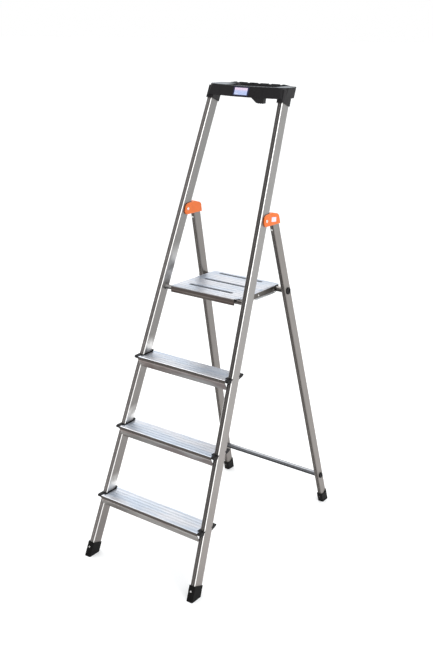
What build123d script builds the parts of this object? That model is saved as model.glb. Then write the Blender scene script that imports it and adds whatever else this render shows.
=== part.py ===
from build123d import *
import math
import os

# Platform stepladder with three treads, a folding platform and a tool tray.
# Millimetres. X runs across the ladder, -Y is the climbing side, +Z is up.
# The origin is on the floor, at the centre of the footprint.
# Pieces of a pair are modelled on the +X side and mirrored to the -X side.

os.makedirs("parts", exist_ok=True)

# ---- driving dimensions -------------------------------------------------------

base_depth = 816.0  # toe of the front feet to heel of the rear feet
outer_half_width = 216.3  # outer face of a rail or leg, at the floor
side_slope = 0.054  # how much the sides close in per mm of height
rail_slope = 0.372  # rearward lean of the front rails per mm of height
leg_slope = 0.290  # forward lean of the rear legs per mm of height

platform_height = 850.0
tread_pitch = 216.4
tread_count = 3

rail_width = 18.0
rail_depth = 38.0
rail_wall = 1.8
leg_width = 16.0
leg_depth = 31.0
leg_wall = 1.6

tread_depth = 77.0
tread_skirt = 34.0

platform_depth = 238.0
platform_width = 257.6
platform_skirt = 20.7
corner_cut = 11.0

tray_top = 1461.0
tray_height = 33.0
tray_half_width = 142.0

hinge_y = 21.5
hinge_z = 1079.7

# Clearances: within one body, and between a pin and its bush.
seat_gap = 0.10
running_gap = 0.06

# ---- worked out from the driving dimensions -----------------------------------

foot_wall = 2.5
side_tilt = math.atan(side_slope)
rail_lean = math.atan(rail_slope)
leg_lean = math.atan(leg_slope)
rail_run = rail_depth / math.cos(rail_lean)  # horizontal depth of a rail
leg_run = leg_depth / math.cos(leg_lean)
rail_toe = foot_wall / math.cos(rail_lean) - base_depth / 2
leg_toe = base_depth / 2 - foot_wall / math.cos(leg_lean) - leg_run
outward = (math.cos(side_tilt), 0, math.sin(side_tilt))
tread_tops = [platform_height - tread_pitch * (tread_count - k) for k in range(tread_count)]


def rail_front(z):
    return rail_toe + rail_slope * z


def leg_front(z):
    return leg_toe - leg_slope * z


def half_width(z):
    return outer_half_width - side_slope * z


def up(z):
    """A height, measured along the tilted side plane."""
    return z / math.cos(side_tilt)


def side_plane(inset=0.0):
    """The plane of a side's outer face, moved inwards: its x is +Y and its y runs up the side."""
    return Plane(origin=(outer_half_width, 0, 0), x_dir=(0, 1, 0), z_dir=outward).offset(-inset)


def section_plane(toe, slope, height):
    """The square section of a rail or leg where its front corner is at this height."""
    origin = (half_width(height), toe + slope * height, height)
    return Plane(origin=origin, x_dir=outward, z_dir=(-side_slope, slope, 1))


def run_length(slope, low, high):
    """Length along a leaning member between two heights."""
    return (high - low) * math.sqrt(1 + slope**2 + side_slope**2)


def cross_plane(x, y, z):
    """A plane square to X: its x is +Y and its y is +Z."""
    return Plane(origin=(x, y, z), x_dir=(0, 1, 0), z_dir=(1, 0, 0))


def finish(builder, name):
    builder.part.label = name
    export_step(builder.part, f"parts/{name}.step")


def finish_pair(builder, name):
    """Write the +X piece and its mirror image."""
    finish(builder, f"{name}_right")
    with BuildPart() as twin:
        mirror(builder.part, about=Plane.YZ)
    finish(twin, f"{name}_left")


def cross_hole(radius, x, y, z, length):
    """Drill through the part being built, along X."""
    with Locations(cross_plane(x, y, z)):
        Cylinder(radius, length, mode=Mode.SUBTRACT)


# ---- extruded rails and legs --------------------------------------------------

corner_radius = 4.0
rear_radius = 2.0
flute_width = 2.2
flute_depth = 1.0
flute_pitch = 4.4


def box_section(width, depth, wall):
    """A hollow box with two flutes in its front face. The origin is its outer front corner."""
    with BuildSketch(mode=Mode.PRIVATE) as hollow:
        with Locations((-width / 2, depth / 2)):
            Rectangle(width - 2 * wall, depth - 2 * wall)
        fillet(hollow.vertices(), corner_radius - wall)
    with BuildSketch(mode=Mode.PRIVATE) as section:
        with Locations((-width / 2, depth / 2)):
            Rectangle(width, depth)
        fillet(section.vertices().group_by(Axis.Y)[0], corner_radius)
        fillet(section.vertices().group_by(Axis.Y)[-1], rear_radius)
        with Locations((-width / 2 - flute_pitch / 2, 0), (-width / 2 + flute_pitch / 2, 0)):
            Rectangle(flute_width, 2 * flute_depth, mode=Mode.SUBTRACT)
        add(hollow.sketch, mode=Mode.SUBTRACT)
    add(section.sketch)


def envelope(toe, slope, width, depth, gap, low=-40.0, high=1500.0):
    """A plain bar a little larger than a rail or leg, to cut its seat in other pieces."""
    with BuildPart(mode=Mode.PRIVATE) as bar:
        with BuildSketch(section_plane(toe, slope, low)):
            with Locations((-width / 2, depth / 2)):
                Rectangle(width + 2 * gap, depth + 2 * gap)
        extrude(amount=run_length(slope, low, high))
    return bar.part


def rail_envelope(gap, low=-40.0, high=1500.0):
    return envelope(rail_toe, rail_slope, rail_width, rail_depth, gap, low, high)


def leg_envelope(gap, low=-40.0, high=1500.0):
    return envelope(leg_toe, -leg_slope, leg_width, leg_depth, gap, low, high)


# Heights of the front corner of each square-cut end.
rail_start = 19.0
rail_end = 1452.0
leg_start = 6.5
leg_end = 1063.0  # cut level, inside the hinge cap

front_axle_radius = 7.0
front_axle_y = -65.0
front_axle_z = platform_height - 10.0
rear_axle_radius = 8.5
rear_axle_z = 836.0
rear_axle_y = leg_front(rear_axle_z) + leg_run / 2
brace_radius = 9.0
brace_z = 111.0
brace_y = leg_front(brace_z) + leg_run / 2
bush_radius = 6.0
pin_radius = 4.0

foot_rivet_z = 30.0
rivet_shank = 1.6
rivet_head = 2.8
rivet_rise = 1.2


def front_face_plane(toe, slope, width, z, proud):
    """On the middle of a rail's or leg's front face, facing out and moved off it by a distance."""
    section = section_plane(toe, slope, z)
    middle = section.from_local_coords(Vector(-width / 2, -proud, 0))
    return Plane(origin=middle, x_dir=section.x_dir, z_dir=-section.y_dir)


rail_rivet_plane = front_face_plane(rail_toe, rail_slope, rail_width, foot_rivet_z, foot_wall)
leg_rivet_plane = front_face_plane(leg_toe, -leg_slope, leg_width, foot_rivet_z - 8, foot_wall)
cap_rivet_plane = front_face_plane(leg_toe, -leg_slope, leg_width, 1044.0, 0.0)


def rivet_hole(plane, depth=9.0):
    with Locations(plane.offset(-depth / 2)):
        Cylinder(rivet_shank + seat_gap, depth + 2, mode=Mode.SUBTRACT)


def rivet(plane, depth):
    """A round head on a face, with its shank behind it."""
    with Locations(plane.offset(seat_gap)):
        Cylinder(rivet_head, rivet_rise, align=(Align.CENTER, Align.CENTER, Align.MIN))
        Cylinder(rivet_shank, depth + seat_gap, align=(Align.CENTER, Align.CENTER, Align.MAX))


with BuildPart() as front_rail:
    with BuildSketch(section_plane(rail_toe, rail_slope, rail_start)):
        box_section(rail_width, rail_depth, rail_wall)
    extrude(amount=run_length(rail_slope, rail_start, rail_end))
    inner_wall_x = half_width(front_axle_z) - rail_width
    cross_hole(front_axle_radius + seat_gap, inner_wall_x, front_axle_y, front_axle_z, 12)
    cross_hole(bush_radius + seat_gap, half_width(hinge_z) - rail_width / 2, hinge_y, hinge_z, 40)
    rivet_hole(rail_rivet_plane)
finish_pair(front_rail, "front_rail")

with BuildPart() as rear_leg:
    with BuildSketch(section_plane(leg_toe, -leg_slope, leg_start)):
        box_section(leg_width, leg_depth, leg_wall)
    extrude(amount=run_length(leg_slope, leg_start, leg_end))
    split(bisect_by=Plane.XY.offset(leg_end), keep=Keep.BOTTOM)
    cross_hole(rear_axle_radius + seat_gap, half_width(rear_axle_z) - 8, rear_axle_y, rear_axle_z, 40)
    cross_hole(brace_radius + seat_gap, half_width(brace_z) - 8, brace_y, brace_z, 40)
    rivet_hole(leg_rivet_plane)
    rivet_hole(cap_rivet_plane)
finish_pair(rear_leg, "rear_leg")


# ---- treads and their end caps ------------------------------------------------

plate = 2.2
skin = 2.0
tread_overlap = 5.5
collar_width = 3.0
nose_drop = 11.0
heel_drop = 24.0
groove = 0.7
groove_width = 1.2
groove_pitch = 3.2
groove_groups = 5
grooves_per_group = 3


def tread_origin(top):
    """The tread's nose, level with its top."""
    return rail_front(top) - (tread_depth - rail_run) * 0.56


def tread_section():
    """The folded aluminium section, as a bent strip with grooves in its top. x is behind the nose."""
    deep = tread_skirt
    group_pitch = tread_depth / (groove_groups + 0.3)
    middles = [group_pitch * (group + 0.65) for group in range(groove_groups)]
    with BuildSketch() as section:
        with BuildLine():
            Polyline(
                (3, 0),
                (tread_depth - 1.5, 0),
                (tread_depth, -2),
                (tread_depth, -4.5),
                (tread_depth - 10, -heel_drop),
                (tread_depth - 20, -heel_drop),
                (tread_depth - 20, -heel_drop + skin),
                (tread_depth - 11.4, -heel_drop + skin),
                (tread_depth - skin - 0.6, -4.5),
                (tread_depth - skin - 0.6, -plate),
                (3, -plate),
                (2, -3.2),
                (2.2, -nose_drop + 0.6),
                (3.8, -nose_drop - 1.0),
                (12.4, -deep + skin),
                (21, -deep + skin),
                (21, -deep),
                (11, -deep),
                (2.0, -nose_drop - 1.8),
                (1.8, -nose_drop + 0.6),
                (0, -nose_drop + 2.2),
                (0, -3),
            )
            RadiusArc((0, -3), (3, 0), 3)
        make_face()
        with Locations([(middle, 0) for middle in middles]):
            with GridLocations(groove_pitch, 1, grooves_per_group, 1):
                Rectangle(groove_width, 2 * groove, mode=Mode.SUBTRACT)
    return section.sketch


def make_tread(top):
    nose = tread_origin(top)
    inner_half = half_width(top) - rail_width
    with BuildPart() as tread:
        # The section reaches a little past the rail's inner face, in front of the rail and behind it.
        with BuildSketch(cross_plane(0, nose, top)):
            add(tread_section())
        extrude(amount=inner_half + tread_overlap)
        add(rail_envelope(0.4), mode=Mode.SUBTRACT)
        mirror(about=Plane.YZ)
    return tread


def make_tread_cap(top, tread):
    """A black clip round three sides of the rail: a horn in front, one behind, and a strip between."""
    nose = tread_origin(top)
    outer = half_width(top)
    inner = outer - rail_width
    with BuildPart() as cap:
        with BuildSketch(cross_plane(inner + tread_overlap + 0.1, nose, top)):
            with BuildLine():
                Polyline((-1.2, -5), (-1.2, 0), (2, 2), (24, 2), (18, -10), (6, -10), close=True)
            make_face()
            with BuildLine():
                Polyline((56, 2), (70, 3), (77, 3), (80, 0.5), (80, -2.5), (74, -6), (55, -11), close=True)
            make_face()
        extrude(amount=rail_width - tread_overlap + 0.2)
        # The collar on top of the tread, round the front, inner and rear faces of the rail.
        with BuildSketch(cross_plane(inner - collar_width, nose, top)):
            with BuildLine():
                Polyline((13, 0.1), (13, 2), (67, 2.6), (67, 0.1), close=True)
            make_face()
        extrude(amount=collar_width + tread_overlap + 1)
        # A raised stop at the rear end of the collar.
        with BuildSketch(cross_plane(inner - collar_width, nose, top)):
            with Locations((64.5, 3)):
                Rectangle(5, 5)
        extrude(amount=collar_width)
        add(rail_envelope(0.15), mode=Mode.SUBTRACT)
        add(tread.part, mode=Mode.SUBTRACT)
    return cap


for number, top in enumerate(tread_tops, start=1):
    tread = make_tread(top)
    finish(tread, f"tread_{number}")
    finish_pair(make_tread_cap(top, tread), f"tread_cap_{number}")


# ---- feet -----------------------------------------------------------------------


def make_foot(toe, slope, width, depth, start, top):
    """A shoe round the end of a rail or leg, cut off flat at the floor."""
    with BuildPart() as foot:
        with BuildSketch(section_plane(toe, slope, -40.0)) as outline:
            with Locations((-width / 2, depth / 2)):
                Rectangle(width + 2 * foot_wall, depth + 2 * foot_wall)
            fillet(outline.vertices(), foot_wall + 1.0)
        extrude(amount=run_length(slope, -40.0, top))
        split(bisect_by=Plane.XY, keep=Keep.TOP)
        add(envelope(toe, slope, width, depth, seat_gap, start - 0.2), mode=Mode.SUBTRACT)
    return foot


with BuildPart() as front_foot:
    add(make_foot(rail_toe, rail_slope, rail_width, rail_depth, rail_start, 46.0).part)
    rivet_hole(rail_rivet_plane)
finish_pair(front_foot, "front_foot")

with BuildPart() as rear_foot:
    add(make_foot(leg_toe, -leg_slope, leg_width, leg_depth, leg_start, 33.0).part)
    rivet_hole(leg_rivet_plane)
    # The side walls dip between the front and rear lugs.
    with Locations(cross_plane(half_width(50) - leg_width / 2, leg_front(50) + leg_run / 2, 54.0)):
        Cylinder(22.0, 60, mode=Mode.SUBTRACT)
finish_pair(rear_foot, "rear_foot")


# ---- tubes, plugs and bushes ----------------------------------------------------

tube_wall = 1.6


def make_tube(radius, y, z, half_length, wall=tube_wall):
    with BuildPart() as tube:
        with BuildSketch(cross_plane(-half_length, y, z)):
            Circle(radius)
            Circle(radius - wall, mode=Mode.SUBTRACT)
        extrude(amount=2 * half_length)
    return tube


def make_plug(tube_radius, flange_radius, y, z, rise):
    """A round plug: a domed flange on the leg's outer face and a stem inside the tube."""
    outer_face = side_plane(-0.15)
    flange_base = outer_face.shift_origin(outer_face.from_local_coords(Vector(y, up(z), 0)))
    with BuildPart() as plug:
        with BuildSketch(flange_base):
            Circle(flange_radius)
        extrude(amount=rise)
        fillet(plug.edges().filter_by(GeomType.CIRCLE).sort_by(Axis.X)[-1], rise * 0.45)
        with BuildSketch(flange_base.offset(rise)):
            Circle(flange_radius * 0.62)
        extrude(amount=-rise * 0.4, mode=Mode.SUBTRACT)
        with BuildSketch(flange_base):
            Circle(tube_radius - tube_wall - 0.6)
        extrude(amount=-10)
    return plug


front_axle = make_tube(front_axle_radius, front_axle_y, front_axle_z, half_width(front_axle_z) - 5)
finish(front_axle, "front_axle")

rear_axle = make_tube(rear_axle_radius, rear_axle_y, rear_axle_z, half_width(rear_axle_z + 8.5) - 0.4)
finish(rear_axle, "rear_axle")

rear_brace = make_tube(brace_radius, brace_y, brace_z, half_width(brace_z + brace_radius) - 0.4)
finish(rear_brace, "rear_brace")

finish_pair(make_plug(rear_axle_radius, 11.5, rear_axle_y, rear_axle_z, 3.2), "rear_axle_plug")
finish_pair(make_plug(brace_radius, brace_radius + 1.1, brace_y, brace_z, 3.6), "brace_plug")


# ---- orange hinge caps, their pins and the rail bushes ----------------------------

cheek = 4.0
cheek_gap = 1.5
cap_outer = cheek_gap + cheek
web_front = 46.5
spigot_length = 58.0
cap_edge = 2.6
label_depth = 0.5
label_y = 60.5
label_z = 1079.0
label_length = 25.0
label_height = 13.5
label_turn = -7.0

# The cap's outline as (y, z, corner radius).
cap_corners = [
    (6.5, 1061.5, 14.0),
    (12.0, 1096.5, 16.0),
    (55.0, 1101.0, 16.0),
    (91.0, 1092.5, 17.0),
    (98.6, 1061.5, 2.0),
]
label_seat = Location((label_y, up(label_z), 0), (0, 0, label_turn))

leg_seat = split(leg_envelope(0.15), Plane.XY.offset(leg_end + 0.15), keep=Keep.BOTTOM)
spigot_width = leg_width - 2 * leg_wall - 1.0
spigot_depth = leg_depth - 2 * leg_wall - 1.0

with BuildPart() as hinge_cap:
    with BuildSketch(side_plane(-cap_outer)) as cap_outline:
        with BuildLine():
            Polyline(*[(y, up(z)) for y, z, radius in cap_corners], close=True)
        make_face()
        for y, z, radius in cap_corners:
            fillet(cap_outline.vertices().sort_by_distance((y, up(z)))[0], radius)
    extrude(amount=-(2 * cap_outer + rail_width))
    side_faces = hinge_cap.faces().sort_by(SortBy.AREA)[-2:]
    fillet(side_faces.edges(), cap_edge)
    # The fork that straddles the rail.
    with BuildSketch(side_plane(-cheek_gap)):
        with Locations((web_front - 40, up(1080))):
            Rectangle(80, 90)
    extrude(amount=-(rail_width + 2 * cheek_gap), mode=Mode.SUBTRACT)
    add(leg_seat, mode=Mode.SUBTRACT)
    # The spigot that fills the top of the hollow leg.
    with BuildSketch(section_plane(leg_toe, -leg_slope, leg_end + 8)):
        with Locations((-leg_width / 2, leg_depth / 2)):
            RectangleRounded(spigot_width, spigot_depth, corner_radius - leg_wall)
    extrude(amount=-spigot_length)
    cross_hole(pin_radius + seat_gap / 2, half_width(hinge_z) - 9, hinge_y, hinge_z, 60)
    with BuildSketch(side_plane(-cap_outer)):
        with Locations(label_seat):
            RectangleRounded(label_length + 1, label_height + 1, 1.8)
        with Locations((28.0, up(1088.0))):
            Circle(2.2)
    extrude(amount=-label_depth, mode=Mode.SUBTRACT)
    rivet_hole(cap_rivet_plane)
finish_pair(hinge_cap, "hinge_cap")

with BuildPart() as cap_label:
    with BuildSketch(side_plane(-cap_outer + label_depth)):
        with Locations(label_seat):
            RectangleRounded(label_length, label_height, 1.4)
    extrude(amount=label_depth + 0.15)
finish(cap_label, "cap_label")

pin_outer_x = half_width(hinge_z) + cap_outer + 0.4
pin_inner_x = half_width(hinge_z) - rail_width - cap_outer - 0.4
pin_head_radius = 4.9
pin_head_rise = 1.3

with BuildPart() as hinge_pin:
    with BuildSketch(cross_plane(pin_inner_x - pin_head_rise, hinge_y, hinge_z)):
        Circle(pin_head_radius)
    extrude(amount=pin_head_rise)
    with BuildSketch(cross_plane(pin_inner_x, hinge_y, hinge_z)):
        Circle(pin_radius)
    extrude(amount=pin_outer_x - pin_inner_x)
    with BuildSketch(cross_plane(pin_outer_x, hinge_y, hinge_z)):
        Circle(pin_head_radius)
    extrude(amount=pin_head_rise)
    chamfer(hinge_pin.edges().filter_by(GeomType.CIRCLE).group_by(Axis.X)[-1], 0.8)
    chamfer(hinge_pin.edges().filter_by(GeomType.CIRCLE).group_by(Axis.X)[0], 0.8)
finish_pair(hinge_pin, "hinge_pin")

bush_half = rail_width / 2 + 0.5
with BuildPart() as hinge_bush:
    with BuildSketch(cross_plane(half_width(hinge_z) - rail_width / 2 - bush_half, hinge_y, hinge_z)):
        Circle(bush_radius)
        Circle(pin_radius + running_gap, mode=Mode.SUBTRACT)
    extrude(amount=2 * bush_half)
finish_pair(hinge_bush, "hinge_bush")


# ---- platform ---------------------------------------------------------------------

deck_plate = 2.5
side_plate = 3.0
deck_half = platform_width / 2 - side_plate - seat_gap
platform_front = -76.0
platform_rear = platform_front + platform_depth
slot_length = 170.0
slot_width = 13.0
slot_centre_x = -8.0
slot_pitch = 82.5
slot_middle_y = platform_front + platform_depth / 2 + 15
deck_groove_pitch = 3.2
deck_groove_group = 16.5


def deck_grooves():
    """Groups of three grooves across the deck, between the front and rear edges."""
    groups = int(platform_depth / deck_groove_group)
    first = (platform_depth - deck_groove_group * (groups - 1)) / 2
    for group in range(groups):
        with Locations((platform_front + first + deck_groove_group * group, platform_height)):
            with GridLocations(deck_groove_pitch, 1, 3, 1):
                Rectangle(groove_width, 2 * groove, mode=Mode.SUBTRACT)


with BuildPart() as platform_deck:
    with BuildSketch(cross_plane(-deck_half, 0, 0)):
        with BuildLine():
            Polyline(
                (platform_front + 2, platform_height),
                (platform_rear - 1, platform_height),
                (platform_rear, platform_height - 1),
                (platform_rear, platform_height - 13),
                (platform_rear - 2.5, platform_height - 13),
                (platform_rear - 2.5, platform_height - deck_plate),
                (104, platform_height - deck_plate),
                (104, platform_height - 12),
                (102, platform_height - 12),
                (102, platform_height - deck_plate),
                (24, platform_height - deck_plate),
                (24, platform_height - 12),
                (22, platform_height - 12),
                (22, platform_height - deck_plate),
                (platform_front + 2.4, platform_height - deck_plate),
                (platform_front + 2.4, platform_height - platform_skirt),
                (platform_front, platform_height - platform_skirt),
                (platform_front, platform_height - 2),
                close=True,
            )
        make_face()
        deck_grooves()
    extrude(amount=2 * deck_half)
    with BuildSketch(Plane.XY.offset(platform_height)):
        with Locations((slot_centre_x, slot_middle_y)):
            with GridLocations(1, slot_pitch, 1, 3):
                SlotOverall(slot_length, slot_width)
    extrude(amount=-deck_plate, mode=Mode.SUBTRACT)
    # The right front corner is cut back.
    with BuildSketch(Plane.XY.offset(platform_height + 1)):
        with BuildLine():
            Polyline(
                (deck_half - corner_cut, platform_front - 1),
                (deck_half + 1, platform_front - 1),
                (deck_half + 1, platform_front + 1.4 * corner_cut),
                close=True,
            )
        make_face()
    extrude(amount=-40, mode=Mode.SUBTRACT)
finish(platform_deck, "platform_deck")

for number in range(3):
    slot_y = slot_middle_y + slot_pitch * (number - 1)
    with BuildPart() as grip:
        with BuildSketch(Plane.XY.offset(platform_height - deck_plate)):
            with Locations((slot_centre_x, slot_y)):
                SlotOverall(slot_length - 2 * seat_gap, slot_width - 2 * seat_gap)
        extrude(amount=deck_plate - 1.0)
        with BuildSketch(Plane.XY.offset(platform_height - deck_plate - seat_gap)):
            with Locations((slot_centre_x, slot_y)):
                SlotOverall(slot_length + 8, slot_width + 6)
        extrude(amount=-1.4)
        with BuildSketch(Plane.XY.offset(platform_height - deck_plate - seat_gap)):
            with Locations((slot_centre_x, slot_y)):
                SlotOverall(slot_length - 2 * seat_gap, slot_width - 2 * seat_gap)
        extrude(amount=seat_gap)
    finish(grip, f"platform_grip_{number + 1}")

side_low = platform_height - 24.0
side_rear_y = rear_axle_y - rear_axle_radius - 1.5
side_front_y = platform_front + 1.4 * corner_cut
lip = 4.0
side_x = platform_width / 2 - side_plate
stud_y = 26.0
side_rivets = [(-30.0, 838.0), (40.0, 838.0), (126.0, 838.0)]

with BuildPart() as platform_side:
    with BuildSketch(cross_plane(side_x, 0, 0)) as side_outline:
        with BuildLine():
            Polyline(
                (side_front_y, platform_height - 1),
                (side_rear_y, platform_height - 1),
                (side_rear_y, side_low + 4),
                (side_rear_y - 6, side_low),
                (platform_front + 44, side_low),
                (platform_front + 36, side_low + 3.5),
                (side_front_y, side_low + 3.5),
                close=True,
            )
        make_face()
    extrude(amount=side_plate)
    with BuildSketch(cross_plane(side_x + side_plate, 0, 0)):
        with Locations(((stud_y + side_rear_y - 6) / 2, side_low + 1.2)):
            Rectangle(side_rear_y - 6 - stud_y, 2.4)
    extrude(amount=lip)
    # The front end is cut away round the axle.
    with BuildSketch(cross_plane(side_x, 0, 0)):
        with Locations((front_axle_y, front_axle_z)):
            Circle(front_axle_radius + 2)
        with BuildLine():
            Polyline(
                (front_axle_y, front_axle_z + front_axle_radius + 2),
                (front_axle_y, side_low - 5),
                (front_axle_y + 22, side_low - 5),
                (front_axle_y + 7, front_axle_z),
                close=True,
            )
        make_face()
    extrude(amount=side_plate, mode=Mode.SUBTRACT)
    for rivet_y, rivet_z in side_rivets:
        cross_hole(rivet_shank + seat_gap, side_x, rivet_y, rivet_z, 20)
finish_pair(platform_side, "platform_side")

block_inner = 98.0
block_outer = deck_half - 0.3
with BuildPart() as pivot_block:
    with BuildSketch(cross_plane(block_inner, 0, 0)):
        with Locations((rear_axle_y, rear_axle_z)):
            Circle(rear_axle_radius + 2.8)
        with BuildLine():
            Polyline(
                (rear_axle_y - 30, platform_height - deck_plate - seat_gap),
                (rear_axle_y + rear_axle_radius + 2.5, platform_height - deck_plate - seat_gap),
                (rear_axle_y + rear_axle_radius + 2.5, rear_axle_z),
                (rear_axle_y - rear_axle_radius - 2, rear_axle_z - 6),
                close=True,
            )
        make_face()
        with Locations((rear_axle_y, rear_axle_z)):
            Circle(rear_axle_radius + running_gap, mode=Mode.SUBTRACT)
    extrude(amount=block_outer - block_inner)
finish_pair(pivot_block, "pivot_block")

# The hooks under the deck that drop over the front axle.
catch_inner = 99.0
catch_outer = side_x - 0.3
catch_bore = front_axle_radius + 0.4
catch_top = platform_height - deck_plate - seat_gap
collar_radius = 9.5
collar_length = 3.0

with BuildPart() as catch:
    with BuildSketch(cross_plane(catch_inner, front_axle_y, front_axle_z)):
        with BuildLine():
            Polyline(
                (3, catch_top - front_axle_z),
                (38, catch_top - front_axle_z),
                (38, -4),
                (30, -9),
                (17, -9),
                (3, 3),
                close=True,
            )
        make_face()
        Circle(catch_bore, mode=Mode.SUBTRACT)
        # Relief for the axle, which leaves downwards and rearwards as the platform folds up.
        with BuildLine():
            Polyline((-1, 3.2), (6.7, 3.2), (24, -20), (-1, -20), close=True)
        make_face(mode=Mode.SUBTRACT)
    extrude(amount=catch_outer - catch_inner)
    cross_hole(rivet_shank + seat_gap, catch_outer, side_rivets[0][0], side_rivets[0][1], 20)
    # It follows the cut corner of the deck.
    with BuildSketch(Plane.XY.offset(platform_height)):
        with BuildLine():
            Polyline(
                (deck_half - corner_cut - 1.5, platform_front - 1),
                (deck_half + 4, platform_front - 1),
                (deck_half + 4, platform_front + 1.4 * corner_cut + 2),
                (deck_half, platform_front + 1.4 * corner_cut + 2),
                close=True,
            )
        make_face()
    extrude(amount=-40, mode=Mode.SUBTRACT)
finish_pair(catch, "front_catch")

axle_end = half_width(front_axle_z) - rail_width
with BuildPart() as collar:
    with BuildSketch(cross_plane(axle_end - 1.0, front_axle_y, front_axle_z)):
        Circle(collar_radius)
        Circle(front_axle_radius + seat_gap, mode=Mode.SUBTRACT)
    extrude(amount=-collar_length)
finish_pair(collar, "axle_collar")

with BuildPart() as side_rivet_set:
    for rivet_y, rivet_z in side_rivets:
        rivet(cross_plane(side_x + side_plate, rivet_y, rivet_z), side_plate)
finish_pair(side_rivet_set, "side_rivets")


# ---- rivets ---------------------------------------------------------------------


def rivet_pair(plane, name, depth=4.0):
    with BuildPart() as rivets:
        rivet(plane, depth)
        mirror(about=Plane.YZ)
    finish(rivets, name)


rivet_pair(rail_rivet_plane, "front_foot_rivets", depth=foot_wall + rail_wall)
rivet_pair(leg_rivet_plane, "rear_foot_rivets", depth=foot_wall + leg_wall)
rivet_pair(cap_rivet_plane, "hinge_cap_rivets", depth=8.0)


# ---- tool tray --------------------------------------------------------------------

tray_wall = 3.2
tray_floor = 3.0
tray_low = tray_top - tray_height
tray_bulge = 23.2  # how far the middle stands in front of the rails
tray_bulge_half = 35.0
tray_side_front = 3.5
tray_side_rear = 60.0
tray_centre_rear = 80.0
tray_rear_half = 96.0
rear_ledge = 15.0
recess_left = -74.0
recess_right = 106.0
low_corner = 12.0
high_corner = 25.0
rear_corner = 7.0
socket_wall = 3.2
socket_low = 1418.5
comb_rise = 3.4
notch_x = [-80.0, -40.0, 0.0, 40.0, 80.0]
notch_width = 12.0
notch_depth = 1.6
hook_profile = [
    (29, 3),
    (35, -3),
    (52, -16),
    (55, -15),
    (58, -17),
    (62, -15.5),
    (66, -17),
    (70, -15.5),
    (74, -17),
    (77, -15),
    (78, 3),
]

tray_axis = Vector(0, rail_slope, 1)


def tray_outline(z):
    """The tray's outline at a height, with large front corners that grow towards the top."""
    y0 = rail_front(z)
    share = (z - tray_low) / tray_height
    corner = low_corner + (high_corner - low_corner) * share
    with BuildSketch() as plan:
        with BuildLine():
            Polyline(
                (-tray_half_width, y0 - tray_side_front),
                (-tray_bulge_half, y0 - tray_bulge),
                (tray_bulge_half, y0 - tray_bulge),
                (tray_half_width, y0 - tray_side_front),
                (tray_half_width, y0 + tray_side_rear),
                (tray_rear_half, y0 + tray_centre_rear),
                (-tray_rear_half, y0 + tray_centre_rear),
                (-tray_half_width, y0 + tray_side_rear),
                close=True,
            )
        make_face()
        ends = plan.vertices().group_by(Axis.X)
        fillet([ends[0].sort_by(Axis.Y)[0], ends[-1].sort_by(Axis.Y)[0]], corner)
        ends = plan.vertices().group_by(Axis.X)
        fillet([ends[0].sort_by(Axis.Y)[-1], ends[-1].sort_by(Axis.Y)[-1]], rear_corner)
    return plan.sketch


def recess_outline(z):
    """The open recess at a height."""
    y0 = rail_front(z)
    front = y0 - tray_bulge + tray_wall
    side_front = y0 - 5.0
    rear = y0 + tray_centre_rear - rear_ledge
    with BuildSketch() as plan:
        with BuildLine():
            Polyline(
                (recess_left, side_front - 4),
                (-tray_bulge_half, front),
                (tray_bulge_half, front),
                (recess_right, side_front),
                (recess_right, rear - 8),
                (recess_right - 16, rear),
                (recess_left + 6, rear),
                (recess_left, rear - 6),
                close=True,
            )
        make_face()
        fillet(plan.vertices(), 2.5)
    return plan.sketch


def rail_socket(side):
    """The sleeve over one rail, behind and below the tray's end."""
    with BuildPart(mode=Mode.PRIVATE) as socket:
        with BuildSketch(section_plane(rail_toe, rail_slope, socket_low)) as socket_outline:
            with Locations((-rail_width / 2, rail_depth / 2)):
                Rectangle(rail_width + 2 * socket_wall, rail_depth + 2 * socket_wall)
            fillet(socket_outline.vertices(), 4.0)
        extrude(amount=run_length(rail_slope, socket_low, tray_top - 6))
        if side < 0:
            mirror(about=Plane.YZ, mode=Mode.REPLACE)
    return socket.part


# The middle of the tray's front panel, where its label sits.
panel_lean = Plane(
    origin=(0, rail_front(tray_top - tray_height / 2) - tray_bulge, tray_top - tray_height / 2),
    x_dir=(1, 0, 0),
    z_dir=(0, -math.cos(rail_lean), math.sin(rail_lean)),
)
panel_label_x = -2.0
panel_label_length = 57.0
panel_label_height = 28.0
panel_label_depth = 0.8

hook_plane = Plane(origin=(0, rail_front(tray_low) - 12, tray_low), x_dir=(1, 0, 0), z_dir=(0, -1, 0))

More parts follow.
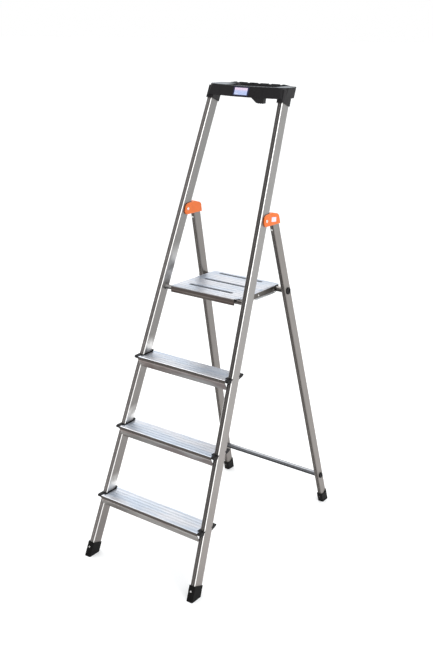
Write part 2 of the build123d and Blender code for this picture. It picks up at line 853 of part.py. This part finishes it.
with BuildPart() as tray:
    with BuildSketch(Plane.XY.offset(tray_low)):
        add(tray_outline(tray_low))
    with BuildSketch(Plane.XY.offset(tray_top)):
        add(tray_outline(tray_top))
    loft(ruled=True)
    # A raised comb along the rear edge, falling away towards the sides.
    comb_y = rail_front(tray_top) + tray_centre_rear - rear_ledge
    with BuildSketch(Plane(origin=(0, comb_y + 1, tray_top), x_dir=(1, 0, 0), z_dir=(0, -1, 0))):
        with BuildLine():
            Polyline(
                (-tray_rear_half - 20, -1),
                (-tray_rear_half - 18, 0),
                (-tray_rear_half + 4, comb_rise),
                (tray_rear_half - 4, comb_rise),
                (tray_rear_half + 18, 0),
                (tray_rear_half + 20, -1),
                close=True,
            )
        make_face()
    extrude(amount=-(rear_ledge - 9))
    # Sockets over the rails.
    for side in (1, -1):
        add(rail_socket(side))
    # The bucket hook below the front.
    with BuildSketch(hook_plane):
        with BuildLine():
            Polyline(*hook_profile, close=True)
        make_face()
    extrude(amount=-14)
    # The open recess, and the notches that hold tools in the comb.
    with BuildSketch(Plane.XY.offset(tray_low + tray_floor)):
        add(recess_outline(tray_low + tray_floor))
    extrude(amount=(tray_height + 10) * tray_axis.length, dir=tray_axis, mode=Mode.SUBTRACT)
    with BuildSketch(Plane.XY.offset(tray_top + comb_rise)):
        with Locations([(x, comb_y + rear_ledge / 2) for x in notch_x]):
            Rectangle(notch_width, rear_ledge + 2)
    extrude(amount=-notch_depth, mode=Mode.SUBTRACT)
    rail_bar = rail_envelope(seat_gap, high=rail_end + 0.3)
    add(rail_bar, mode=Mode.SUBTRACT)
    add(mirror(rail_bar, about=Plane.YZ, mode=Mode.PRIVATE), mode=Mode.SUBTRACT)
    with BuildSketch(panel_lean):
        with Locations((panel_label_x, 0)):
            RectangleRounded(panel_label_length + 1, panel_label_height + 1, 3.4)
    extrude(amount=-panel_label_depth, mode=Mode.SUBTRACT)
finish(tray, "tool_tray")

with BuildPart() as tray_label:
    with BuildSketch(panel_lean.offset(seat_gap - panel_label_depth)):
        with Locations((panel_label_x, 0)):
            RectangleRounded(panel_label_length, panel_label_height, 3)
    extrude(amount=panel_label_depth + 0.1)
finish(tray_label, "tray_label")
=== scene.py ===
import math

import bpy
from mathutils import Matrix, Vector


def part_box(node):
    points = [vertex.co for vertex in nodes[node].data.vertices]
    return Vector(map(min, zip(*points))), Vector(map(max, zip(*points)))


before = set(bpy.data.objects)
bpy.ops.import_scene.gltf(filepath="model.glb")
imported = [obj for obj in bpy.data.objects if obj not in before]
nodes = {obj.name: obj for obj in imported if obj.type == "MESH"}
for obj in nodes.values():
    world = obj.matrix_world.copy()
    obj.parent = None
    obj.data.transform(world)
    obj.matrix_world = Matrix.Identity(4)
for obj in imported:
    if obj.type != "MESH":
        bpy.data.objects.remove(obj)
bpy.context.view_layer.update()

# ---- facts about the ladder, in metres -------------------------------------------

RAIL_SLOPE = 0.372  # rearward lean of the front rails per metre of height
LEG_SLOPE = 0.290  # forward lean of the rear legs
SIDE_SLOPE = 0.054  # how much the sides close in
RAIL_WIDTH = 0.018
LEG_WIDTH = 0.016
FLOOR_HALF_WIDTH = 0.2163  # outer face of a rail or leg, at the floor
RAIL_TOP = 1.45
TREAD_TOPS = [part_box(f"tread_{number}")[1].z for number in (1, 2, 3)]
DECK_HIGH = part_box("platform_deck")[1]
TRAY_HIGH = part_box("tool_tray")[1]
NOSE_DROP = 0.0115  # how far a tread's rolled nose reaches down
RIB_DEPTH = 0.0022  # how far the grooves between a tread's ribs reach down
RIB_PITCH = 0.0128
TUBE_SHADOW_REACH = 0.016  # the front tube is painted dark, as painted shadow, from this far inside the deck's right side
TRAY_RIM = 0.010  # the tray's edges are lightened, as wear and as painted highlight, from this far below its top
TRAY_DARK_DEPTH = 0.034  # the tray stays darker from this far in front of its back

X_AXIS, Y_AXIS, Z_AXIS = (1, 0, 0), (0, 1, 0), (0, 0, 1)

# ---- camera, at the photograph's viewing angle ---------------------------------

CAMERA_PLACE = Vector((1.6680, -2.3224, 1.6710))
CAMERA_YAW = math.radians(35.7593)
CAMERA_PITCH = math.radians(-18.6959)
CAMERA_ROLL = math.radians(0.9068)
CAMERA_LENS = 52.206  # millimetres, on a 36 mm sensor
CAMERA_SHIFT = (0.00155, 0.0095)


def make_camera():
    level = math.cos(CAMERA_PITCH)
    forward = Vector((-math.sin(CAMERA_YAW) * level, math.cos(CAMERA_YAW) * level, math.sin(CAMERA_PITCH)))
    side = forward.cross(Vector(Z_AXIS)).normalized()
    above = side.cross(forward)
    right = math.cos(CAMERA_ROLL) * side + math.sin(CAMERA_ROLL) * above
    up = math.cos(CAMERA_ROLL) * above - math.sin(CAMERA_ROLL) * side
    data = bpy.data.cameras.new("camera")
    data.sensor_width = 36.0
    data.sensor_fit = "AUTO"
    data.lens = CAMERA_LENS
    data.shift_x, data.shift_y = CAMERA_SHIFT
    data.clip_end = 200.0
    camera = bpy.data.objects.new("camera", data)
    bpy.context.scene.collection.objects.link(camera)
    turn = Matrix((right, up, -forward)).transposed().to_4x4()
    camera.matrix_world = Matrix.Translation(CAMERA_PLACE) @ turn
    bpy.context.scene.camera = camera


make_camera()

# ---- a small kit for node materials --------------------------------------------------


class Paint:
    """One node tree, with short calls to add nodes. An input is a number, a tuple or a socket."""

    def __init__(self, tree):
        self.tree = tree

    def put(self, socket, value):
        if isinstance(value, bpy.types.NodeSocket):
            self.tree.links.new(value, socket)
        elif isinstance(value, tuple) and socket.type == "RGBA":
            socket.default_value = (*value[:3], 1.0)
        else:
            socket.default_value = value

    def node(self, kind, settings=None, **inputs):
        made = self.tree.nodes.new("ShaderNode" + kind)
        for name, value in (settings or {}).items():
            setattr(made, name, value)
        for name, value in inputs.items():
            self.put(made.inputs[name.replace("_", " ")], value)
        return made

    def maths(self, operation, *values):
        made = self.node("Math", {"operation": operation})
        for place, value in enumerate(values):
            self.put(made.inputs[place], value)
        return made.outputs[0]

    def total(self, *values):
        result = values[0]
        for value in values[1:]:
            result = self.maths("ADD", result, value)
        return result

    def less(self, value, amount):
        return self.maths("SUBTRACT", value, amount)

    def product(self, *values):
        result = values[0]
        for value in values[1:]:
            result = self.maths("MULTIPLY", result, value)
        return result

    def magnitude(self, value):
        return self.maths("ABSOLUTE", value)

    def dot(self, first, second):
        made = self.node("VectorMath", {"operation": "DOT_PRODUCT"})
        self.put(made.inputs[0], first)
        self.put(made.inputs[1], second)
        return made.outputs["Value"]

    def ease(self, value, low, high, start=0.0, end=1.0):
        """start below low, end above high, and a smooth step between."""
        made = self.node("MapRange", {"interpolation_type": "SMOOTHSTEP"})
        for place, given in enumerate((value, low, high, start, end)):
            self.put(made.inputs[place], given)
        return made.outputs[0]

    def fall(self, value, low, high):
        """1 below low, 0 above high, and a smooth step between."""
        return self.ease(value, low, high, 1.0, 0.0)

    def mix(self, factor, first, second):
        """The first colour where factor is 0, and the second where it is 1."""
        made = self.node("Mix", {"data_type": "RGBA"})  # its colours are sockets 6 and 7
        self.put(made.inputs[0], factor)
        self.put(made.inputs[6], first)
        self.put(made.inputs[7], second)
        return made.outputs[2]

    def scaled(self, colour, factor):
        """The colour, made lighter or darker by a factor."""
        made = self.node("VectorMath", {"operation": "SCALE"})
        self.put(made.inputs[0], colour)
        self.put(made.inputs["Scale"], factor)
        return made.outputs[0]

    def noise(self, vector, scale, detail=2.0, roughness=0.5):
        made = self.node("TexNoise", Vector=vector, Scale=scale, Detail=detail, Roughness=roughness)
        return made.outputs["Fac"]

    def vector(self, x, y, z):
        return self.node("CombineXYZ", X=x, Y=y, Z=z).outputs[0]


class Surface(Paint):
    """A Principled material with the object's own coordinates and normal at hand."""

    def __init__(self, name):
        self.material = bpy.data.materials.new(name)
        self.material.use_nodes = True
        super().__init__(self.material.node_tree)
        self.shader = self.tree.nodes["Principled BSDF"]
        coordinates = self.node("TexCoord")
        self.place = coordinates.outputs["Object"]
        self.normal = coordinates.outputs["Normal"]
        self.x, self.y, self.z = self.node("SeparateXYZ", Vector=self.place).outputs
        self.nx, self.ny, self.nz = self.node("SeparateXYZ", Vector=self.normal).outputs

    def stretched(self, across, along, up):
        """The object's coordinates, each multiplied by its own number."""
        return self.vector(
            self.product(self.x, across),
            self.product(self.y, along),
            self.product(self.z, up),
        )

    def level(self):
        """1 on faces that look up."""
        return self.ease(self.nz, 0.55, 0.95)

    def edges(self, radius, turn=0.35):
        """1 along the edges, within about radius, and 0 on the flats. A lower turn finds softer edges."""
        round_normal = self.node("Bevel", {"samples": 4}, Radius=radius).outputs[0]
        true_normal = self.node("NewGeometry").outputs["Normal"]
        turned = self.less(1.0, self.dot(round_normal, true_normal))
        return self.ease(turned, 0.08 * turn, turn)

    def shade(self, colour, roughness, relief=None, **constants):
        """Sets up the shader. relief is a height map, the distance it stands for and its strength."""
        self.put(self.shader.inputs["Base Color"], colour)
        self.put(self.shader.inputs["Roughness"], roughness)
        for name, value in constants.items():
            self.put(self.shader.inputs[name.replace("_", " ")], value)
        if relief is not None:
            height, distance, strength = relief
            bump = self.node("Bump", Height=height, Distance=distance, Strength=strength)
            self.put(self.shader.inputs["Normal"], bump.outputs[0])
        return self.material


def paint(material, *names):
    """Gives a material to CAD nodes. A name may end in * for every node that starts that way."""
    for name in names:
        for found in nodes:
            if found == name or (name.endswith("*") and found.startswith(name[:-1])):
                mesh = nodes[found].data
                mesh.materials.clear()
                mesh.materials.append(material)
                for face in mesh.polygons:
                    face.material_index = 0


# ---- aluminium ---------------------------------------------------------------------------

STREAKS_ACROSS, STREAKS_ALONG = 1400.0, 9.0  # streaks per metre, roughly
BAND_BLUR = 0.0004
# The colour of the painted reflection of the treads and the platform on the rails' inner faces.
TREAD_REFLECTION = (0.88, 0.87, 0.86)
# A painted highlight along the edges of the rails and legs.
UPRIGHT_EDGE_HIGHLIGHT = (0.85, 0.84, 0.82)
# A painted highlight along the treads' edges.
TREAD_EDGE_HIGHLIGHT = (0.60, 0.60, 0.59)
# Painted shade under the treads.
TREAD_UNDERSIDE_SHADE = (0.20, 0.19, 0.185)
# The ribbed tops: a painted reflection of the sky, bluish and brighter by turns.
RIBS_SKY_REFLECTION = (0.71, 0.77, 0.86)
RIBS_BRIGHT_REFLECTION = (0.83, 0.84, 0.88)
# A painted highlight along the tubes' edges.
TUBE_EDGE_HIGHLIGHT = (0.88, 0.88, 0.88)
# Painted shadow on the front tube's right end.
TUBE_SHADOW = (0.10, 0.09, 0.085)

# Each top that is stood on, and how far above it the rails carry a painted reflection of it.
REFLECTION_REACH = [(top, 0.062) for top in TREAD_TOPS] + [(DECK_HIGH.z, 0.135)]


def brushed(look, along, across, over, fine=1.0):
    """Streaks that run along a member, and broad soft patches. Both are near 0.5 on average."""
    spread = look.vector(
        look.product(look.dot(look.place, across), STREAKS_ACROSS * fine),
        look.product(look.dot(look.place, over), STREAKS_ACROSS * fine),
        look.product(look.dot(look.place, along), STREAKS_ALONG),
    )
    streaks = look.noise(spread, 1.0, detail=3.0, roughness=0.6)
    patches = look.noise(look.place, 14.0, detail=3.0)
    return streaks, patches


def weathered(look, streaks, patches, streak_gain=0.30, patch_gain=0.22):
    """A brightness factor about 1, from streaks and patches."""
    return look.total(
        1.0 - 0.5 * (streak_gain + patch_gain),
        look.product(streaks, streak_gain),
        look.product(patches, patch_gain),
    )


def reflection_patches(look, patches):
    """1 in patches just above each tread and above the platform, where the rails carry a painted
    reflection of them.
    """
    found = []
    for top, reach in REFLECTION_REACH:
        start = look.ease(look.z, top - 0.004, top + 0.3 * reach)
        end = look.fall(look.z, top + 0.35 * reach, top + reach)
        found.append(look.product(start, end))
    return look.product(look.total(*found), look.ease(patches, 0.30, 0.55))


def upright_metal(
    name,
    slope,
    width,
    low_colour,
    high_colour,
    front_shade_colour,
    corner_shading_colour,
    inner_shade_gain,
    middle_highlight_gain,
    left_light_gain,
    reflection_gain=0.0,
):
    """Extruded aluminium for a rail or a leg that leans by slope, with a fluted front."""
    look = Surface(name)
    length = math.sqrt(1 + slope * slope)
    along = (0, slope / length, 1 / length)
    over = (0, -1 / length, slope / length)
    streaks, patches = brushed(look, along, X_AXIS, over)
    colour = look.mix(look.ease(look.z, 0.0, RAIL_TOP), low_colour, high_colour)
    # Faces that look inwards are painted a little darker, as painted shade.
    outward = look.product(look.nx, look.maths("SIGN", look.x))
    inward = look.fall(outward, -0.8, -0.2)
    colour = look.mix(inward, colour, look.scaled(colour, inner_shade_gain))
    # The front is painted darker as painted shade, with a painted highlight line down its middle. The left
    # member's front has its own gain, which paints it lighter on the rails as painted light.
    facing = look.dot(look.normal, over)
    front = look.ease(facing, 0.86, 0.97)
    middle = look.less(FLOOR_HALF_WIDTH - width / 2, look.product(look.z, SIDE_SLOPE))
    off_middle = look.magnitude(look.less(middle, look.magnitude(look.x)))
    middle_highlight = look.fall(off_middle, 0.0, 0.0016)
    front_painted_tone = look.mix(middle_highlight, front_shade_colour, look.scaled(front_shade_colour, middle_highlight_gain))
    front_painted_tone = look.scaled(front_painted_tone, look.ease(look.x, -0.05, 0.05, left_light_gain, 1.0))
    colour = look.mix(front, colour, front_painted_tone)
    # Round the front corners, where the surface turns from the front to a side, the colour is painted: a
    # painted highlight on the rails and painted shade on the legs.
    corner_shading = look.product(look.magnitude(look.nx), look.ease(facing, 0.0, 1.0), 2.0)
    colour = look.mix(look.ease(corner_shading, 0.62, 0.98), colour, corner_shading_colour)
    # A painted reflection of each tread and of the platform on the inner faces just above them.
    if reflection_gain:
        reflection_mask = look.product(reflection_patches(look, patches), inward, reflection_gain)
        colour = look.mix(reflection_mask, colour, TREAD_REFLECTION)
    colour = look.scaled(colour, weathered(look, streaks, patches))
    # A painted highlight along the edges.
    colour = look.mix(look.product(look.edges(0.0009), 0.35), colour, UPRIGHT_EDGE_HIGHLIGHT)
    roughness = look.total(
        0.27,
        look.product(streaks, 0.16),
        look.product(patches, 0.08),
        look.product(front, 0.06),
    )
    return look.shade(colour, roughness, (streaks, 0.00006, 0.35), Metallic=1.0)


def band(look, top, deep, shallow):
    """1 where the height is between deep and shallow below top."""
    above = look.ease(look.z, top - deep - BAND_BLUR, top - deep + BAND_BLUR)
    below = look.fall(look.z, top - shallow - BAND_BLUR, top - shallow + BAND_BLUR)
    return look.product(above, below)


def tread_metal(name, node, front_light, front_dark, nose_shade_colour, side_colour, lip=None):
    """Extruded aluminium that runs across the ladder: ribbed tops with a painted reflection, and skirts
    painted darker as painted shade.
    """
    low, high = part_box(node)
    look = Surface(name)
    streaks, patches = brushed(look, X_AXIS, Y_AXIS, Z_AXIS, 0.55)
    broad = look.noise(look.stretched(7.0, 30.0, 30.0), 1.0)
    # The front skirt, painted darker as painted shade, with painted shade on its rolled nose and a painted
    # highlight line under it.
    skirt = look.mix(look.ease(broad, 0.40, 0.62), front_light, front_dark)
    skirt = look.mix(band(look, high.z, NOSE_DROP, 0.0015), skirt, nose_shade_colour)
    nose_highlight_line = band(look, high.z, NOSE_DROP + 0.0022, NOSE_DROP)
    skirt = look.mix(nose_highlight_line, skirt, look.scaled(skirt, 1.7))
    # The sides, the underside, painted dark as painted shade, and the lip along the bottom.
    body = look.mix(look.fall(look.ny, -0.85, -0.35), side_colour, skirt)
    body = look.mix(look.fall(look.nz, -0.9, -0.4), body, TREAD_UNDERSIDE_SHADE)
    if lip is not None:
        body = look.mix(look.fall(look.z, low.z + 0.0035, low.z + 0.0050), body, lip)
    # The ribbed top, in which the sides of the ribs count as top: a painted reflection of the sky, with
    # painted shade rippling across the ribs.
    behind_nose = look.ease(look.y, low.y + 0.003, low.y + 0.004)
    ribs = look.product(band(look, high.z, RIB_DEPTH, -0.001), behind_nose)
    top = look.maths("MAXIMUM", look.level(), ribs)
    bright = look.mix(look.ease(broad, 0.35, 0.65), RIBS_SKY_REFLECTION, RIBS_BRIGHT_REFLECTION)
    rib_shade_ripple = look.maths("SINE", look.product(look.y, 2 * math.pi / RIB_PITCH))
    bright = look.scaled(bright, look.total(0.95, look.product(rib_shade_ripple, 0.04)))
    colour = look.mix(top, body, bright)
    colour = look.scaled(colour, weathered(look, streaks, patches, 0.22, 0.14))
    # A painted highlight along the edges below the top.
    tread_edge_highlight = look.product(look.edges(0.0008), look.less(1.0, top), 0.35)
    colour = look.mix(tread_edge_highlight, colour, TREAD_EDGE_HIGHLIGHT)
    roughness = look.total(0.26, look.product(streaks, 0.14), look.product(broad, 0.10))
    return look.shade(colour, roughness, (streaks, 0.00008, 0.4), Metallic=1.0)


def tube_metal(name, colour, turn_low=-0.30, turn_high=0.30, shadow_from=None):
    """A drawn tube across the ladder, painted darker underneath as painted shade. Given an x, it is
    painted dark from there outwards, as painted shadow.
    """
    look = Surface(name)
    streaks, patches = brushed(look, X_AXIS, Y_AXIS, Z_AXIS, 0.8)
    tone = look.mix(look.ease(look.nz, turn_low, turn_high), look.scaled(colour, 0.10), colour)
    if shadow_from is not None:
        tone = look.mix(look.ease(look.x, shadow_from, shadow_from + 0.006), tone, TUBE_SHADOW)
    tone = look.scaled(tone, weathered(look, streaks, patches))
    # A painted highlight along the edges.
    tone = look.mix(look.product(look.edges(0.0006), 0.4), tone, TUBE_EDGE_HIGHLIGHT)
    roughness = look.total(0.24, look.product(streaks, 0.16))
    return look.shade(tone, roughness, (streaks, 0.00006, 0.35), Metallic=1.0)


rail_paint = upright_metal(
    "rail_aluminium",
    RAIL_SLOPE,
    RAIL_WIDTH,
    low_colour=(0.285, 0.262, 0.250),
    high_colour=(0.365, 0.358, 0.350),
    front_shade_colour=(0.125, 0.115, 0.112),
    corner_shading_colour=(0.86, 0.85, 0.83),
    inner_shade_gain=0.74,
    middle_highlight_gain=2.1,
    left_light_gain=2.0,
    reflection_gain=0.85,
)
leg_paint = upright_metal(
    "leg_aluminium",
    -LEG_SLOPE,
    LEG_WIDTH,
    low_colour=(0.240, 0.220, 0.207),
    high_colour=(0.300, 0.282, 0.268),
    front_shade_colour=(0.085, 0.076, 0.070),
    corner_shading_colour=(0.20, 0.185, 0.175),
    inner_shade_gain=0.84,
    middle_highlight_gain=1.8,
    left_light_gain=1.0,
)
tread_tones = {
    "front_light": (0.255, 0.245, 0.235),
    "front_dark": (0.175, 0.145, 0.136),
    "nose_shade_colour": (0.085, 0.074, 0.068),
    "side_colour": (0.36, 0.35, 0.34),
}
deck_tones = {
    "front_light": (0.105, 0.092, 0.084),
    "front_dark": (0.078, 0.062, 0.056),
    "nose_shade_colour": (0.085, 0.070, 0.064),
    "side_colour": (0.12, 0.11, 0.10),
}
for number in (1, 2, 3):
    tread = f"tread_{number}"
    paint(tread_metal(f"{tread}_aluminium", tread, **tread_tones), tread)
paint(tread_metal("deck_aluminium", "platform_deck", **deck_tones), "platform_deck")
for side in ("left", "right"):
    flank = f"platform_side_{side}"
    paint(tread_metal(f"{flank}_aluminium", flank, **deck_tones, lip=(0.72, 0.72, 0.71)), flank)
front_tube_paint = tube_metal("front_tube", (0.56, 0.555, 0.55), shadow_from=DECK_HIGH.x - TUBE_SHADOW_REACH)
paint(rail_paint, "front_rail_*")
paint(leg_paint, "rear_leg_*")
paint(front_tube_paint, "front_axle", "axle_collar_*")
paint(tube_metal("brace_tube", (0.27, 0.277, 0.295), 0.04, 0.28), "rear_brace")
paint(tube_metal("dark_tube", (0.22, 0.205, 0.195)), "rear_axle")

# ---- plastics and rubber ----------------------------------------------------------------------


def moulded(
    name,
    colour,
    wear_and_highlight,
    roughness,
    grain=1500.0,
    grain_depth=0.00004,
    top=None,
    top_highlight_gain=0.0,
    edge_reach=0.0013,
    edge_turn=0.16,
    edge_floor=None,
    dark_from=None,
    **constants,
):
    """Moulded plastic: fine grain, slight flow marks, edges lightened as wear and as a painted highlight,
    and a painted highlight on level tops.

    Edges are lightened only above the height edge_floor. Behind the depth dark_from, edges and tops keep a
    quarter of their wear and painted highlight.
    """
    look = Surface(name)
    fine = look.noise(look.place, grain)
    flow = look.noise(look.place, 38.0, 3.0)
    tone = look.scaled(colour, look.total(0.86, look.product(flow, 0.28)))
    scuffs = look.noise(look.stretched(300.0, 90.0, 700.0), 1.0, 3.0)
    tone = look.mix(look.product(look.ease(scuffs, 0.66, 0.80), 0.16), tone, wear_and_highlight)
    # Edges are lightened, as wear and as a painted highlight.
    edge_wear_and_highlight = look.product(look.edges(edge_reach, edge_turn), look.ease(flow, 0.20, 0.50), 0.8)
    if edge_floor is not None:
        edge_wear_and_highlight = look.product(edge_wear_and_highlight, look.ease(look.z, edge_floor, edge_floor + 0.006))
    kept = 1.0
    if dark_from is not None:
        kept = look.ease(look.y, dark_from, dark_from + 0.004, 1.0, 0.25)
    tone = look.mix(look.product(edge_wear_and_highlight, kept), tone, wear_and_highlight)
    # Level tops get a painted highlight.
    if top is not None:
        top_highlight_mask = look.product(look.level(), top_highlight_gain, look.ease(flow, 0.15, 0.55, 0.7, 1.0), kept)
        tone = look.mix(top_highlight_mask, tone, top)
    rough = look.total(roughness - 0.08, look.product(flow, 0.12), look.product(fine, 0.06))
    return look.shade(tone, rough, (fine, grain_depth, 0.6), **constants)


tray_paint = moulded(
    "tray_plastic",
    (0.010, 0.009, 0.010),
    (0.24, 0.25, 0.26),
    0.36,
    top=(0.16, 0.19, 0.22),
    top_highlight_gain=0.9,
    edge_reach=0.0030,
    edge_turn=0.024,
    edge_floor=TRAY_HIGH.z - TRAY_RIM,
    dark_from=TRAY_HIGH.y - TRAY_DARK_DEPTH,
    Specular_IOR_Level=0.26,
)
black_paint = moulded(
    "black_plastic",
    (0.006, 0.0055, 0.006),
    (0.04, 0.04, 0.042),
    0.46,
    Specular_IOR_Level=0.14,
)
foot_paint = moulded(
    "foot_plastic",
    (0.005, 0.0045, 0.0045),
    (0.030, 0.028, 0.027),
    0.55,
    grain=900.0,
    Specular_IOR_Level=0.09,
)
orange_paint = moulded(
    "orange_plastic",
    (0.70, 0.140, 0.016),
    (0.95, 0.40, 0.24),
    0.36,
    grain_depth=0.00002,
    top=(0.95, 0.34, 0.18),
    top_highlight_gain=0.5,
    Specular_IOR_Level=0.35,
)
grip_paint = moulded("grip_rubber", (0.045, 0.055, 0.075), (0.12, 0.13, 0.15), 0.60, grain=700.0)
nylon_paint = moulded("bush_nylon", (0.62, 0.60, 0.55), (0.80, 0.78, 0.72), 0.42, grain_depth=0.00002)
paint(tray_paint, "tool_tray")
paint(black_paint, "tread_cap_*", "pivot_block_*", "front_catch_*", "rear_axle_plug_*", "brace_plug_*")
paint(foot_paint, "front_foot_left", "front_foot_right", "rear_foot_left", "rear_foot_right")
paint(orange_paint, "hinge_cap_left", "hinge_cap_right")
paint(grip_paint, "platform_grip_*")
paint(nylon_paint, "hinge_bush_*")

# ---- small steel parts and the labels --------------------------------------------------------

LABEL_UPPER = (0.74, 0.60, 0.76)
LABEL_FRAME = (0.020, 0.022, 0.060)


def steel(name, dull, bright):
    look = Surface(name)
    fine = look.noise(look.place, 2600.0, 3.0)
    flow = look.noise(look.place, 120.0)
    tone = look.mix(look.ease(flow, 0.35, 0.65), dull, bright)
    # A painted highlight along the edges, as a lighter copy of the tone.
    tone = look.mix(look.product(look.edges(0.0005), 0.5), tone, look.scaled(tone, 1.2))
    roughness = look.total(0.18, look.product(fine, 0.18))
    return look.shade(tone, roughness, (fine, 0.00002, 0.4), Metallic=1.0)


def film(name, colour, tint, framed=None):
    """A blank label of plain film. The node framed has a warmer upper half and a dark frame."""
    look = Surface(name)
    fine = look.noise(look.place, 1800.0)
    flow = look.noise(look.place, 60.0)
    tone = look.mix(look.ease(flow, 0.3, 0.7), colour, tint)
    if framed is not None:
        low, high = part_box(framed)
        middle, half = (low + high) / 2, (high - low) / 2
        across = look.product(look.magnitude(look.less(look.x, middle.x)), 1 / half.x)
        level = look.product(look.less(look.z, middle.z), 1 / half.z)
        tone = look.mix(look.ease(level, -0.1, 0.5), tone, LABEL_UPPER)
        ends = look.ease(across, 0.80, 0.84)
        long_sides = look.ease(look.magnitude(level), 0.74, 0.80)
        tone = look.mix(look.maths("MAXIMUM", ends, long_sides), tone, LABEL_FRAME)
    roughness = look.total(0.22, look.product(fine, 0.10))
    return look.shade(tone, roughness, (fine, 0.00001, 0.3))


bright_steel = steel("fastener_steel", (0.66, 0.65, 0.63), (0.83, 0.82, 0.80))
dark_steel = steel("blackened_steel", (0.060, 0.056, 0.054), (0.10, 0.095, 0.09))
tray_film = film("panel_label", (0.42, 0.50, 0.78), (0.54, 0.59, 0.80), framed="tray_label")
cap_film = film("blank_label", (0.60, 0.60, 0.80), (0.78, 0.70, 0.78))
paint(bright_steel, "hinge_pin_*", "side_rivets_*", "front_foot_rivets", "hinge_cap_rivets")
paint(dark_steel, "rear_foot_rivets")
paint(tray_film, "tray_label")
paint(cap_film, "cap_label")

# ---- floor and light -------------------------------------------------------------


def make_floor():
    """A pale floor, much wider than the view."""
    bpy.ops.mesh.primitive_circle_add(vertices=96, radius=60.0, fill_type="NGON", location=(0, 0, 0))
    floor = bpy.context.object
    floor.name = "floor"
    look = Surface("floor")
    tone = look.mix(look.noise(look.place, 3.0), (0.90, 0.90, 0.90), (0.93, 0.93, 0.93))
    glow = {"Emission_Color": (1.0, 1.0, 1.0), "Emission_Strength": 0.14}
    floor.data.materials.append(look.shade(tone, 0.9, Specular_IOR_Level=0.1, **glow))


def make_world():
    """A studio dome. The camera sees plain white where rays miss everything."""
    made = bpy.data.worlds.new("studio")
    bpy.context.scene.world = made
    made.use_nodes = True
    world = Paint(made.node_tree)
    sky = world.node("TexCoord").outputs["Generated"]

    def glow(direction, low, high, strength):
        """A soft light around a direction, between two cosines."""
        towards = tuple(Vector(direction).normalized())
        return world.product(world.ease(world.dot(sky, towards), low, high), strength)

    height = world.dot(sky, Z_AXIS)
    strength = world.total(
        0.66,
        world.ease(height, 0.30, 0.95, 0.0, 0.70),
        glow((-0.55, 0.77, 0.32), 0.60, 0.97, 0.30),
        glow((0.83, -0.50, 0.20), 0.88, 0.97, 1.8),
        glow((-0.55, -0.80, 0.22), 0.60, 0.95, -0.42),
    )
    tint = world.mix(world.ease(height, 0.0, 0.6), (1.0, 0.99, 0.98), (0.975, 0.99, 1.0))
    lit = world.node("Background", Color=tint, Strength=strength)
    plain = world.node("Background", Color=(1.0, 1.0, 1.0), Strength=1.0)
    chosen = world.node("MixShader")
    world.put(chosen.inputs[0], world.node("LightPath").outputs["Is Camera Ray"])
    world.put(chosen.inputs[1], lit.outputs[0])
    world.put(chosen.inputs[2], plain.outputs[0])
    world.put(made.node_tree.nodes["World Output"].inputs["Surface"], chosen.outputs[0])


def area_light(name, place, side, power):
    """A square light that points at the middle of the ladder."""
    data = bpy.data.lights.new(name, "AREA")
    data.shape = "RECTANGLE"
    data.size = data.size_y = side
    data.energy = power
    light = bpy.data.objects.new(name, data)
    bpy.context.scene.collection.objects.link(light)
    light.location = place
    towards = Vector((0, 0, 0.7)) - Vector(place)
    light.rotation_euler = towards.to_track_quat("-Z", "Y").to_euler()


make_floor()
make_world()
area_light("key", (-1.6, 0.6, 3.6), 2.4, 40)
area_light("fill", (3.2, -0.6, 2.6), 2.0, 30)
bpy.context.scene.view_settings.view_transform = "Standard"
